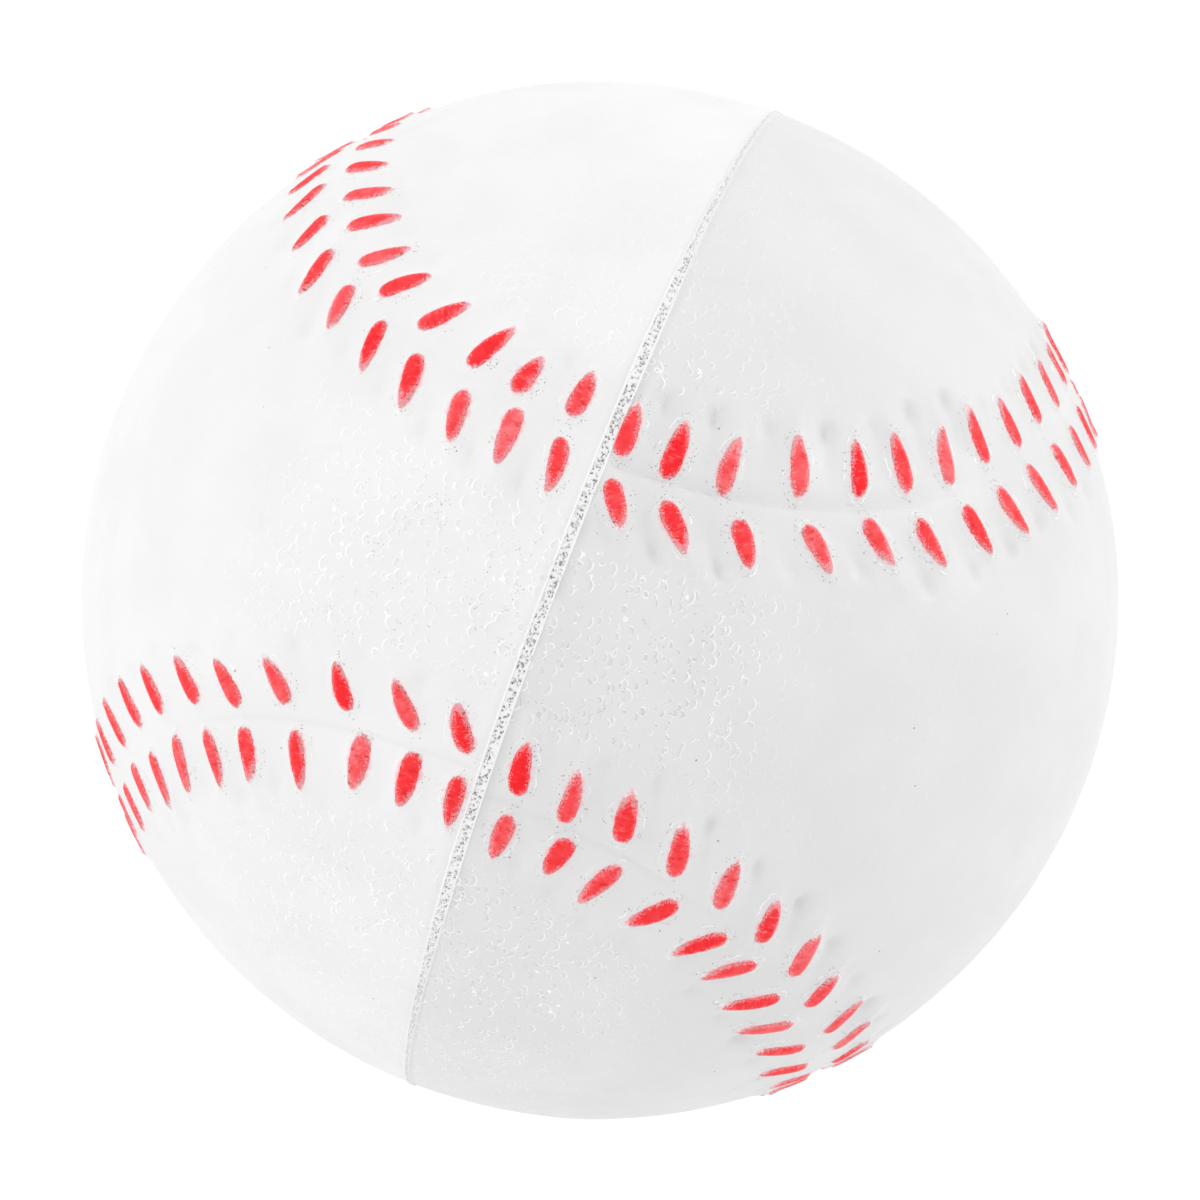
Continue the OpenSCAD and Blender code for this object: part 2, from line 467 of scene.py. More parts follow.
def slow_waves(towards, seed, width, count=40):
    """Gentle waves about this wide, between about -1 and 1."""
    ball_r = bpy.context.scene.ball_sizes.radius
    total = np.zeros(len(towards))
    for _ in range(count):
        way = units(seed.normal(size=3))
        way *= 2 * math.pi * ball_r / (width * seed.uniform(0.7, 1.6))
        total += np.sin(towards @ way + seed.uniform(0, 2 * math.pi))
    return total / math.sqrt(count)


def crease_relief(from_seam, turn, half, across):
    """The crease along the seam: a steep side, a gentle side and a rounded bottom."""
    seam = bpy.context.scene.seam_sizes
    swap = ease(math.radians(70), math.radians(110), turn)
    top_width = seam.steep_width + (seam.gentle_width - seam.steep_width) * 0.35 * swap
    bottom_width = seam.gentle_width + (seam.steep_width - seam.gentle_width) * swap
    width = np.where(from_seam > 0, top_width, bottom_width)
    wall = np.clip(1 - np.abs(from_seam) / width, 0, 1) ** 1.5
    strength = (1 if half == RIGHT else 0.4 + 0.25 * np.sin(5 * turn + 1)) * (1 - 0.5 * swap)
    far = np.where(turn < math.pi / 2, ease(0.45, 0.65, across), ease(0.28, 0.48, across))
    return -seam.crease_depth * wall * strength * (1 - 0.9 * far)


# How many lengths away a stitch's relief ends, and where the bed of its paint starts
# and is full, inside its outline
RELIEF_REACH, BED_STARTS, BED_FULL = 2.2, 0.04 * MM, 0.16 * MM
# Width of the ridge beyond a stitch's tip, its least reach there and its spread, where
# it starts before the tip and how slowly it ends
FINGER_WIDTH, FINGER_REACH, FINGER_SPREAD = 0.42 * MM, 1 * MM, 1.4 * MM
FINGER_BEFORE, FINGER_FADE = 1.2 * MM, 0.8 * MM
# The hollow between two stitches: its least reach past their tips and its spread, the
# trough's share of its depth and its ends, and the dimple's share and place near its end
HOLLOW_REACH, HOLLOW_SPREAD = 0.6 * MM, 1.5 * MM
TROUGH_SHARE, TROUGH_WIDTH, TROUGH_STARTS, TROUGH_FULL = 0.55, 0.62 * MM, -1.8 * MM, 1.0 * MM
TROUGH_BEFORE, TROUGH_PAST = 0.9 * MM, 0.1 * MM
DIMPLE_SHARE, DIMPLE_WIDTH, DIMPLE_LENGTH, DIMPLE_BEFORE = 0.65, 0.45 * MM, 0.7 * MM, 0.75 * MM


def stitch_relief(towards, half):
    """Raised stitches, the ridges beyond their tips and the hollows between them.

    Also returns how far each place lies inside the nearest stitch's outline.
    """
    sizes = bpy.context.scene.stitch_sizes
    ball_r = bpy.context.scene.ball_sizes.radius
    height = np.zeros(len(towards))
    inside = np.full(len(towards), -1.0)
    for side in (TOP, BOTTOM):
        row = row_of_stitches(half, side)
        for i in range(sizes.count):
            near = math.cos(RELIEF_REACH * sizes.length / ball_r)
            close = np.flatnonzero(towards @ row["up"][i] > near)
            if not len(close):
                continue
            place = towards[close]
            fore = ball_r * (place @ row["fore"][i])
            right = ball_r * (place @ row["right"][i])
            deep = stitch_inside(row, i, fore, right)
            inside[close] = np.maximum(inside[close], deep)
            full = np.clip(deep / (0.5 * row["width"][i]), 0, 1)
            bump = sizes.height * np.sqrt(1 - (1 - full) ** 2)
            bump -= sizes.paint * ease(BED_STARTS, BED_FULL, deep)
            pad = sizes.pad_height * ease(-sizes.pad_reach, 0.05 * MM, deep)
            tip = row["length"][i] / 2
            reach = tip + FINGER_REACH + FINGER_SPREAD * row["far"][i]
            finger = (sizes.finger * row["deep"][i] * bell(right, FINGER_WIDTH)
                      * ease(tip - FINGER_BEFORE, tip, fore)
                      * (1 - ease(tip, reach + FINGER_FADE, fore)))
            height[close] += bump + pad + finger
            height[close] += hollow(row, i, place, sizes, ball_r)
    return height, inside


def hollow(row, i, place, sizes, ball_r):
    """The pucker between stitch i and the next one, deepest near its outer end."""
    if i + 1 == sizes.count:
        return 0
    up = units(row["up"][i] + row["up"][i + 1])
    fore = units(row["fore"][i] + row["fore"][i + 1])
    fore = units(fore - up * (fore @ up))
    right = ball_r * (place @ np.cross(fore, up))
    fore = ball_r * (place @ fore)
    end = row["length"][i] / 2 + HOLLOW_REACH + HOLLOW_SPREAD * row["far"][i]
    trough = (TROUGH_SHARE * bell(right, TROUGH_WIDTH) * ease(TROUGH_STARTS, TROUGH_FULL, fore)
              * (1 - ease(end - TROUGH_BEFORE, end + TROUGH_PAST, fore)))
    dimple = (DIMPLE_SHARE * bell(right, DIMPLE_WIDTH)
              * bell(fore - end + DIMPLE_BEFORE, DIMPLE_LENGTH))
    return -sizes.pucker * row["deep"][i] * (trough + dimple)


def grow_tree(places):
    """A tree that finds the nearest of many places."""
    tree = KDTree(len(places))
    for i, place in enumerate(places):
        tree.insert(place, i)
    tree.balance()
    return tree


# Widths of the waves that sway the pebbles' tilt and of the grain's strong and faint
# patches, and how slowly the grain starts beside the smooth strip
SWAY_WIDTH, PATCH_WIDTH, GRAIN_FADE = 7 * MM, 9 * MM, 2.2 * MM


def pebble_grain(towards, half, from_seam):
    """How far each place lies inside its pebble, its tilt and the grain's strength there.

    The pebbles lie like scales: each stands out on the side away from the parting line.
    """
    sizes = bpy.context.scene.grain_sizes
    ball_r = bpy.context.scene.ball_sizes.radius
    seed = half_seed(half, PEBBLE_SEED)
    count = int(4 * math.pi * ball_r ** 2 / (0.87 * sizes.pitch ** 2))
    order = np.arange(count) + 0.5
    rise = 1 - 2 * order / count
    spin = order * math.pi * (3 - math.sqrt(5))
    flat = np.sqrt(1 - rise ** 2)
    centres = np.stack([rise, flat * np.cos(spin), flat * np.sin(spin)], axis=-1)
    centres = units(centres + seed.normal(0, 0.3 * sizes.pitch / ball_r, centres.shape))
    radii = sizes.radius * seed.uniform(0.62, 1.12, count)
    centres, radii = centres[centres[:, 0] > -0.1], radii[centres[:, 0] > -0.1]
    tree = grow_tree(centres)
    kept = [i for i, centre in enumerate(centres)
            if all(other >= i for _, other, _ in
                   tree.find_range(centre, 0.55 * sizes.pitch / ball_r))]
    centres, radii = centres[kept], radii[kept]
    tree = grow_tree(centres)
    inside, first = np.empty(len(towards)), np.empty(len(towards), dtype=np.int64)
    for i, place in enumerate(towards):
        (_, first[i], near), (_, _, far) = tree.find_n(place, 2)
        inside[i] = min(radii[first[i]] - near * ball_r, (far - near) * ball_r / 2)
    from_centre = (towards - centres[first]) * ball_r / radii[first][:, None]
    sway = 1.1 * slow_waves(towards, half_seed(half, SWAY_SEED), SWAY_WIDTH)
    tilt = (from_centre[:, 0] + 0.1 * from_centre[:, 1] + sway * from_centre[:, 2])
    tilt = np.clip(tilt / np.sqrt(1 + sway ** 2), -1, 1)
    clear = ease(sizes.smooth_strip, sizes.smooth_strip + GRAIN_FADE, np.abs(from_seam))
    rise = towards[:, 1] * (1 if half == RIGHT else -1)
    fade = 0.3 + 0.7 * ease(0.25, 0.85, np.abs(towards[:, 2]))
    near_rim = (0.15, 0.52) if half == RIGHT else (0.25, 0.62)
    fade *= 0.07 + 0.93 * (1 - ease(*near_rim, towards[:, 0]))
    fade *= (1 - 0.85 * ease(0.35, 0.6, rise)) * (1 - 0.35 * ease(-0.35, -0.6, rise))
    patches = 0.8 + 0.2 * slow_waves(towards, half_seed(half, PATCH_SEED), PATCH_WIDTH)
    return inside, tilt, clear * fade * np.clip(patches, 0.3, 1)


# The groove beside the rim's bead and the gentle swell under both
GROOVE_DEPTH, SWELL_HEIGHT, SWELL_WIDTH = 0.04 * MM, 0.1 * MM, 0.9 * MM
# The skin's slow waves and its finer ripples
WAVE_HEIGHT, WAVE_WIDTH = 0.035 * MM, 11 * MM
RIPPLE_HEIGHT, RIPPLE_WIDTH = 0.008 * MM, 2.2 * MM
# How slowly the relief starts at the rim, and the pebbles at a stitch and at their edges
RIM_FADE = 0.7 * MM
PEBBLES_END, PEBBLES_FULL = -0.6 * MM, -1.6 * MM
PEBBLE_STARTS, PEBBLE_FULL = -0.04 * MM, 0.14 * MM


def rim_relief(from_rim, faint):
    """The bead along the rim and the gentle rise to it, lower where less was trimmed."""
    ball = bpy.context.scene.ball_sizes
    bead = np.clip(from_rim / ball.lip_width, 0, 1)
    bead = np.sqrt(np.clip(1 - (1.6 * bead - 0.6) ** 2, 0, 1))
    groove = GROOVE_DEPTH * bell(from_rim - 1.9 * ball.lip_width, 0.9 * ball.lip_width)
    swell = SWELL_HEIGHT * bell(from_rim, SWELL_WIDTH)
    return ball.lip_height * bead * (1 - 0.6 * faint) - groove + swell * (1 - 0.8 * faint)


def skin_relief(towards, half):
    """Height of a skin over the plain ball, and the marks that its material reads."""
    ball_r = bpy.context.scene.ball_sizes.radius
    grain = bpy.context.scene.grain_sizes
    from_seam, turn = near_seam(towards)
    from_rim = towards[:, 0] * ball_r - bpy.context.scene.ball_sizes.band_width / 2
    stitches, in_stitch = stitch_relief(towards, half)
    in_pebble, tilt, strength = pebble_grain(towards, half, from_seam)
    strength = strength * (1 - ease(PEBBLES_FULL, PEBBLES_END, in_stitch))
    pebbles = (grain.height * strength * ease(PEBBLE_STARTS, PEBBLE_FULL, in_pebble)
               * ease(-0.4, 0.7, tilt))
    waves = (WAVE_HEIGHT * slow_waves(towards, half_seed(half, WAVE_SEED), WAVE_WIDTH)
             + RIPPLE_HEIGHT * slow_waves(towards, half_seed(half, RIPPLE_SEED), RIPPLE_WIDTH))
    crease = crease_relief(from_seam, turn, half, towards[:, 0])
    faint = ease(0.4, 0.8, np.abs(towards[:, 1]))
    height = ((crease + stitches + pebbles + waves) * ease(0, RIM_FADE, from_rim)
              + rim_relief(from_rim, faint))
    marks = {"in_stitch": in_stitch / MM, "in_pebble": in_pebble / MM, "from_rim": from_rim / MM,
             "grain": strength, "tilt": tilt, "faint": faint}
    return height, marks


# Modelling

# A cut goes through a vertex that lies this near to it, and a place this near to a rim
# or an outside belongs to it
CUT_MARGIN, RIM_MARGIN, NEARBY = 1e-8, 0.001 * MM, 0.1 * MM
# Depth of a skin's square rim, and how far the foam's band reaches under the skins and
# over the plain ball before its cells are cut
WALL_DEPTH, BAND_UNDER, BAND_OVER = 0.4 * MM, 0.04 * MM, 0.09 * MM


def add_ball(name, radius, halvings):
    """A cube divided into a fine grid and blown up to a ball."""
    pick_nothing()
    bpy.ops.mesh.primitive_cube_add(size=2, calc_uvs=False)
    ball = bpy.context.object
    ball.name = ball.data.name = name
    grid = ball.modifiers.new("Grid", "SUBSURF")
    grid.subdivision_type = "SIMPLE"
    grid.levels = grid.render_levels = halvings
    bpy.ops.object.modifier_apply(modifier=grid.name)
    write_points(ball, units(np.tan(read_points(ball) * (math.pi / 4))) * radius)
    return ball


def part_ball(ball, across, rings=()):
    """Cut away all of a ball below a plane across X, and cut rings near its rim."""
    edit(ball)
    bpy.ops.mesh.select_all(action="SELECT")
    bpy.ops.mesh.bisect(plane_co=(across, 0, 0), plane_no=(1, 0, 0), clear_inner=True,
                        threshold=CUT_MARGIN)
    for ring in rings:
        for _ in range(3):
            bpy.ops.mesh.select_more()
        bpy.ops.mesh.bisect(plane_co=(ring, 0, 0), plane_no=(1, 0, 0), threshold=CUT_MARGIN)
    leave()


def add_rim_wall(skin, from_r, to_r):
    """Turn the skin's open rim square inward."""
    edit_open_edges(skin)
    bpy.ops.mesh.extrude_edges_move()
    leave()
    new = np.empty(len(skin.data.vertices), dtype=bool)
    skin.data.vertices.foreach_get("select", new)
    places = read_points(skin)
    places[new, 1:] *= to_r / from_r
    write_points(skin, places)


def join(first, *others):
    """Join pieces into the first one."""
    pick(first)
    for other in others:
        other.select_set(True)
    bpy.ops.object.join()
    return first


def bridge_open_edges(piece, low, high):
    """Bridge the open edges that lie between two planes across X."""
    edit_open_edges(piece)
    leave()
    picked = np.empty(len(piece.data.edges), dtype=bool)
    piece.data.edges.foreach_get("select", picked)
    middle = edge_ends(piece).mean(axis=1)
    edit_edges(piece, picked & (middle > low) & (middle < high))
    bpy.ops.mesh.bridge_edge_loops()
    leave()


def face_outward(piece):
    """Point all faces of a closed piece outward."""
    edit(piece, "EDGE")
    bpy.ops.mesh.select_all(action="SELECT")
    bpy.ops.mesh.normals_make_consistent(inside=False)
    leave()


def smooth(piece, angle):
    """Shade a piece smooth, with sharp edges past this angle."""
    pick(piece)
    bpy.ops.object.shade_smooth_by_angle(angle=math.radians(angle))


def hand_over(piece, slot, *nodes):
    """Attach a finished piece to the root body and hide the model's parts that it stands for."""
    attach(piece, "root")
    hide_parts(*nodes)


def corners(piece):
    """The vertex and the face of each of a piece's face corners, and the face sizes."""
    vertex = np.empty(len(piece.data.loops), dtype=np.int32)
    piece.data.loops.foreach_get("vertex_index", vertex)
    size = np.empty(len(piece.data.polygons), dtype=np.int32)
    piece.data.polygons.foreach_get("loop_total", size)
    return vertex, np.repeat(np.arange(len(size)), size), size


def over_face(values, face, size, gather):
    """One value for each corner's face: the least or the greatest of its corners'."""
    starts = np.concatenate([[0], np.cumsum(size)[:-1]])
    return gather.reduceat(values, starts)[face]


def write_map(piece, across, up):
    """Lay a piece's surface out flat for its colours."""
    flat = piece.data.uv_layers.new(name="OFBake")
    flat.data.foreach_set("uv", np.stack([across, up], axis=-1).astype(np.float32).ravel())


def disc(places):
    """How far from the middle each place of a half ball lies on a disc, from 0 to 1."""
    lean = np.arccos(np.clip(np.abs(places[:, 0]) / np.linalg.norm(places, axis=1), 0, 1))
    return np.sin(lean / 2) / math.sin(math.pi / 4)


def depth_in_skin(places):
    """How deep each place lies in the skin: 0 on the ball and 1 on the core."""
    ball = bpy.context.scene.ball_sizes
    return (ball.radius - np.linalg.norm(places, axis=1)) / (ball.radius - ball.core_radius)


def map_skin(skin, places):
    """Lay a skin out: its outside on a wide disc, its rim round that, its lining apart."""
    vertex, face, size = corners(skin)
    depth = np.clip(depth_in_skin(places), 0, 1)
    reach, turn = disc(places), np.arctan2(places[:, 2], places[:, 1])
    inner = over_face(depth[vertex], face, size, np.minimum) > 0.9
    wide = reach * 0.4 + np.where(depth > 0.1, 0.01 + 0.02 * depth, 0)
    radius = np.where(inner, reach[vertex] * 0.055, wide[vertex])
    write_map(skin, np.where(inner, 0.94, 0.44) + radius * np.cos(turn[vertex]),
              np.where(inner, 0.06, 0.56) + radius * np.sin(turn[vertex]))


# Cells across and up the flat map of a row's dabs, and the distance between the unit
# dabs before they are laid on their stitches
CELLS_ACROSS, CELLS_UP = 8, 7
DAB_PITCH = 2


def map_paint(paint, unit, i, skirt):
    """Lay each dab out in a cell of its own, its bottom apart in the cell's corner."""
    vertex, face, size = corners(paint)
    bottom = (size > 4)[face]
    spread = np.where(bottom, 0.03, np.where(skirt, 0.46, 0.42)[vertex]) * 2
    offset = np.where(bottom, 0.475, 0)
    across, up = (unit[:, 0] - DAB_PITCH * i)[vertex], unit[vertex, 1]
    cell = i[vertex]
    write_map(paint, (cell % CELLS_ACROSS + 0.5 + offset + across * spread) / CELLS_ACROSS,
              (cell // CELLS_ACROSS + 0.5 + offset + up * spread) / CELLS_UP)


def map_core(core):
    """Lay the core out: its band in rows, its two lumps and the rib's sides on discs."""
    ball = bpy.context.scene.ball_sizes
    places = read_points(core)
    vertex, face, size = corners(core)
    depth = depth_in_skin(places)
    band = over_face(depth[vertex], face, size, np.maximum) < 0.5
    turn = np.arctan2(places[:, 2], places[:, 1]) % (2 * math.pi)
    rows = 16
    step = turn[vertex] * rows / (2 * math.pi)
    low, high = (over_face(step, face, size, gather) for gather in (np.minimum, np.maximum))
    step = np.where((high - low > rows / 2) & (step < rows / 2), step + rows, step)
    middle = over_face(step, face, size, np.add) / size[face]
    row = np.floor(middle)
    across = places[vertex, 0] / (ball.band_width / 2)
    radius = disc(places)[vertex] * 0.07 + np.clip(1 - depth[vertex], 0, 1) * 0.02
    side = np.where(over_face(places[vertex, 0], face, size, np.add) > 0, 0.25, 0.75)
    write_map(core,
              np.where(band, 0.01 + 0.98 * (step - row), side + radius * np.cos(turn[vertex])),
              np.where(band, (row % rows + 0.5 + 0.34 * across) / 20,
                       0.9 + radius * np.sin(turn[vertex])))


def narrow_band(places):
    """Draw the rims together towards the ball's two sides in Y, where less was trimmed."""
    ball = bpy.context.scene.ball_sizes
    rim = ball.band_width / 2
    off_rim = np.maximum(np.abs(places[:, 0]) - rim, 0)
    share_in = 0.7 * ease(0.45, 1, np.abs(places[:, 1]) / ball.radius)
    pull = np.minimum(np.abs(places[:, 0]), rim) * share_in * (1 - ease(0, 0.6 * MM, off_rim))
    places[:, 0] -= np.sign(places[:, 0]) * pull
    return places


def make_skin(half, halvings=8):
    """One moulded skin: relief outside, smooth inside, with a square rim."""
    ball = bpy.context.scene.ball_sizes
    rim = ball.band_width / 2
    rings = [rim + ball.lip_width * part for part in (0.15, 0.3, 0.5, 0.7, 0.85, 1, 1.4, 2)]
    skin = add_ball("moulded_skin_" + half, ball.radius, halvings)
    part_ball(skin, rim, rings)
    add_rim_wall(skin, ball.radius, ball.radius - WALL_DEPTH)
    lining = add_ball("lining_" + half, ball.core_radius, 5)
    part_ball(lining, rim)
    join(skin, lining)
    bridge_open_edges(skin, rim - NEARBY, rim + NEARBY)
    face_outward(skin)
    places = read_points(skin)
    outside = np.linalg.norm(places, axis=1) > ball.radius - NEARBY
    plain = places.copy()
    towards = units(places[outside])
    height, marks = skin_relief(towards, half)
    across = np.clip(places[outside][:, 0], rim, None)
    places[outside] = towards * (ball.radius + height)[:, None]
    at_rim = np.abs(across - rim) < RIM_MARGIN
    places[outside] = np.where(at_rim[:, None], set_across(places[outside], rim), places[outside])
    for name, values in marks.items():
        spread = np.full(len(places), -1.0 if name == "in_stitch" else 0.0)
        spread[outside] = values
        write_marks(skin, name, spread)
    map_skin(skin, plain)
    write_points(skin, narrow_band(places) @ half_turns(half).T)
    smooth(skin, 180)
    return skin


def set_across(places, across):
    """The same places with their X set to one value."""
    placed = places.copy()
    placed[:, 0] = across
    return placed


def add_dab():
    """One dab of paint on a unit square: a grid, a skirt below its edge and a bottom."""
    pick_nothing()
    bpy.ops.mesh.primitive_grid_add(x_subdivisions=5, y_subdivisions=9, size=1, calc_uvs=False)
    dab = bpy.context.object
    edit_open_edges(dab)
    bpy.ops.mesh.extrude_edges_move(TRANSFORM_OT_translate={"value": (0, 0, -1)})
    bpy.ops.mesh.edge_face_add()
    leave()
    return dab


# How far a dab reaches past its stitch's sides, how far its edge and its skirt sink in
# the skin, and its lift in thicknesses of the paint
DAB_PAST, EDGE_SINK, SKIRT_SINK, PAINT_LIFT = 0.14 * MM, 0.04 * MM, 0.14 * MM, 2.4


def make_paint(half, side, name):
    """The paint of one row: a dab laid over each raised stitch."""
    sizes = bpy.context.scene.stitch_sizes
    ball_r = bpy.context.scene.ball_sizes.radius
    paint = add_dab()
    paint.name = paint.data.name = name
    repeat = paint.modifiers.new("Row", "ARRAY")
    repeat.count = sizes.count
    repeat.use_relative_offset = False
    repeat.use_constant_offset = True
    repeat.constant_offset_displace = (DAB_PITCH, 0, 0)
    bpy.ops.object.modifier_apply(modifier=repeat.name)
    unit = read_points(paint)
    i = np.round(unit[:, 0] / DAB_PITCH).astype(int)
    row = row_of_stitches(half, side)
    long, wide = row["length"][i], row["width"][i]
    skirt = unit[:, 2] < -0.5
    part = 0.5 + unit[:, 1] * 1.1
    side_share = 2 * (unit[:, 0] - DAB_PITCH * i)
    reach = wide / 2 * outline_width(0.5 + 0.47 * 2 * unit[:, 1]) + DAB_PAST
    fore = (part - 0.5) * long
    right = side_share * reach + bend_at(row, i, part)
    towards = units(row["up"][i] + (row["fore"][i] * fore[:, None]
                                    + row["right"][i] * right[:, None]) / ball_r)
    ball = bpy.context.scene.ball_sizes
    stop = (ball.band_width / 2 + ball.lip_width) / ball_r
    towards[:, 0] = np.maximum(towards[:, 0], stop)
    towards = units(towards)
    fore = ball_r * np.sum(towards * row["fore"][i], axis=1)
    right = ball_r * np.sum(towards * row["right"][i], axis=1)
    part = fore / long + 0.5
    height, _ = skin_relief(towards, half)
    edge = np.maximum(np.abs(side_share), np.abs(unit[:, 1] * 2)) > 0.99
    lift = np.where(edge, -EDGE_SINK, PAINT_LIFT * sizes.paint)
    lift = np.where(skirt, -SKIRT_SINK, lift)
    places = towards * (ball_r + height + lift)[:, None]
    write_points(paint, narrow_band(places) @ half_turns(half).T)
    dab_map = paint.data.uv_layers.new(name="Dab")
    across = (right - bend_at(row, i, part)) / (wide / 2)
    dab_map.data.foreach_set("uv", np.stack([part, across], axis=-1)[corners(paint)[0]].ravel())
    first = (200 if side == TOP else 0) + (500 if half == LEFT else 0)
    write_marks(paint, "dab_number", first + i)
    map_paint(paint, unit, i, skirt)
    face_outward(paint)
    smooth(paint, 80)
    return paint


def make_core():
    """The foam core: a ball under the skins and a rib between them with cut cells."""
    ball = bpy.context.scene.ball_sizes
    rim = ball.band_width / 2
    edge = rim + BAND_UNDER
    top_r = ball.radius + BAND_OVER
    around = 4400
    pick_nothing()
    bpy.ops.mesh.primitive_cylinder_add(vertices=around, radius=top_r, depth=2 * edge,
                                        end_fill_type="NOTHING", calc_uvs=False,
                                        rotation=(0, math.pi / 2, 0))
    core = bpy.context.object
    core.name = core.data.name = "trimmed_foam_core"
    bpy.ops.object.transform_apply(location=False, rotation=True, scale=False)
    edit_edges(core, np.abs(np.diff(edge_ends(core), axis=1)[:, 0]) > rim)
    bpy.ops.mesh.subdivide(number_cuts=13)
    leave()
    for side in (RIGHT, LEFT):
        lump = add_ball("lump_" + side, ball.core_radius, 5)
        part_ball(lump, rim)
        if side == LEFT:
            write_points(lump, read_points(lump) * np.array([-1, 1, 1]))
        core = join(core, lump)
    bridge_open_edges(core, rim - NEARBY, rim + NEARBY)
    bridge_open_edges(core, -rim - NEARBY, -rim + NEARBY)
    map_core(core)
    cut_cells(core, top_r)
    face_outward(core)
    smooth(core, 40)
    return core


def cut_cells(core, top_r):
    """Sink the cut foam cells into the band."""
    ball = bpy.context.scene.ball_sizes
    rim = ball.band_width / 2
    places = read_points(core)
    radial = np.hypot(places[:, 1], places[:, 2])
    band = np.flatnonzero(radial > top_r - 0.05 * MM)
    turn = np.arctan2(places[band, 2], places[band, 1])
    seed = np.random.default_rng(CELL_SEED)
    round_band = 2 * math.pi * top_r
    count = int(round_band * ball.band_width / (2.6 * ball.pit_radius) ** 2)
    pits = np.stack([seed.uniform(-rim, rim, count) * 1.02, seed.uniform(0, round_band, count),
                     np.zeros(count)], axis=-1)
    radii = ball.pit_radius * seed.uniform(0.45, 1.45, count)
    depths = seed.uniform(0.5, 1, count)
    depths *= 1 - 0.5 * ease(0.55, 0.9, np.abs(np.cos(pits[:, 1] / top_r)))
    tree = grow_tree(pits)
    sink = np.zeros(len(band))
    for i, (across, angle) in enumerate(zip(places[band, 0], turn)):
        spot = Vector((across, (angle % (2 * math.pi)) * top_r, 0))
        for _, pit, near in tree.find_range(spot, ball.pit_radius * 1.45):
            part = near / radii[pit]
            if part < 1:
                sink[i] = max(sink[i], depths[pit] * math.sqrt(1 - part * part))
    sink *= ease(0, 0.05 * MM, rim - np.abs(places[band, 0]))
    places[band, 1:] *= (1 - ball.pit_depth * sink / top_r)[:, None]
    write_points(core, narrow_band(places))
    deep = np.zeros(len(places))
    deep[band] = sink
    write_marks(core, "cell_depth", deep)


# Materials

class Value:
    """A number that a material works out at each place, so that sums read as sums."""

    def __init__(self, socket):
        self.socket, self.tree = socket, socket.id_data

    def worked(self, operation, *others):
        """The outcome of one operation with other values."""
        inputs = dict(enumerate((self, *others)))
        return Value(add_node(self.tree, "ShaderNodeMath", inputs, operation=operation).outputs[0])

    def __add__(self, other):
        return self.worked("ADD", other)

    def __sub__(self, other):
        return self.worked("SUBTRACT", other)

    def __mul__(self, other):
        return self.worked("MULTIPLY", other)

    def __pow__(self, other):
        return self.worked("POWER", other)

    def most(self, other):
        """The greater of two values."""
        return self.worked("MAXIMUM", other)

    def least(self, other):
        """The smaller of two values."""
        return self.worked("MINIMUM", other)

    def left_of_one(self):
        """What is left of 1 without this value."""
        return Value(add_node(self.tree, "ShaderNodeMath", {0: 1.0, 1: self},
                              operation="SUBTRACT").outputs[0])

    def slope(self, low, high, to_low=0.0, to_high=1.0):
        """This value mapped smoothly from one span to another."""
        return Value(add_node(self.tree, "ShaderNodeMapRange",
                              {"Value": self, "From Min": low, "From Max": high,
                               "To Min": to_low, "To Max": to_high},
                              interpolation_type="SMOOTHSTEP").outputs["Result"])

    def window(self, low, full, over, end):
        """1 from full to over, with a smooth rise from low and a smooth fall to end."""
        return self.slope(low, full) * self.slope(end, over)


def new_material(name):
    """A material with its nodes cleared down to the shader and the output."""
    material = bpy.data.materials.new(name)
    material.use_nodes = True
    tree = material.node_tree
    shader = next(node for node in tree.nodes if node.type == "BSDF_PRINCIPLED")
    return material, tree, shader


def set_inputs(node, inputs):
    """Give a node its inputs, each a number, a colour or another node's output."""
    for name, value in inputs.items():
        value = getattr(value, "socket", value)
        if isinstance(value, bpy.types.NodeSocket):
            node.id_data.links.new(value, node.inputs[name])
        else:
            node.inputs[name].default_value = value


def add_node(tree, kind, inputs=None, **settings):
    """A node with its settings and its inputs."""
    node = tree.nodes.new(kind)
    for name, value in settings.items():
        setattr(node, name, value)
    set_inputs(node, inputs or {})
    return node


def vectors(tree, operation, *inputs):
    """The outcome of one operation on vectors: a number for a dot product, else a vector."""
    node = add_node(tree, "ShaderNodeVectorMath", dict(enumerate(inputs)), operation=operation)
    return Value(node.outputs["Value" if operation == "DOT_PRODUCT" else "Vector"])


def on_piece(tree):
    """The place on the piece, in metres from the ball's middle."""
    return add_node(tree, "ShaderNodeTexCoord").outputs["Object"]


def noise(tree, width, detail=2.0, roughness=0.5, place=None):
    """Noise whose lumps are about this wide."""
    node = add_node(tree, "ShaderNodeTexNoise",
                    {"Vector": place or on_piece(tree), "Scale": 1 / width, "Detail": detail,
                     "Roughness": roughness})
    return Value(node.outputs["Fac"])


def mark(tree, name):
    """A number that the mesh keeps for each vertex."""
    return Value(add_node(tree, "ShaderNodeAttribute", attribute_name=name).outputs["Fac"])


def darker(tone, share_left):
    """This share of a colour."""
    return tuple(value * share_left for value in tone)


def blend(amount, first, second):
    """A colour between two others."""
    node = add_node(amount.tree, "ShaderNodeMix", {0: amount}, data_type="RGBA")
    set_inputs(node, {socket: tone if isinstance(tone, bpy.types.NodeSocket) else (*tone, 1)
                      for socket, tone in ((6, first), (7, second))})
    return node.outputs[2]


def bump(height, depth, under=None):
    """A bump this deep, laid over another one."""
    inputs = {"Height": height, "Distance": depth, "Strength": 1.0}
    if under:
        inputs["Normal"] = under
    return add_node(height.tree, "ShaderNodeBump", inputs).outputs["Normal"]


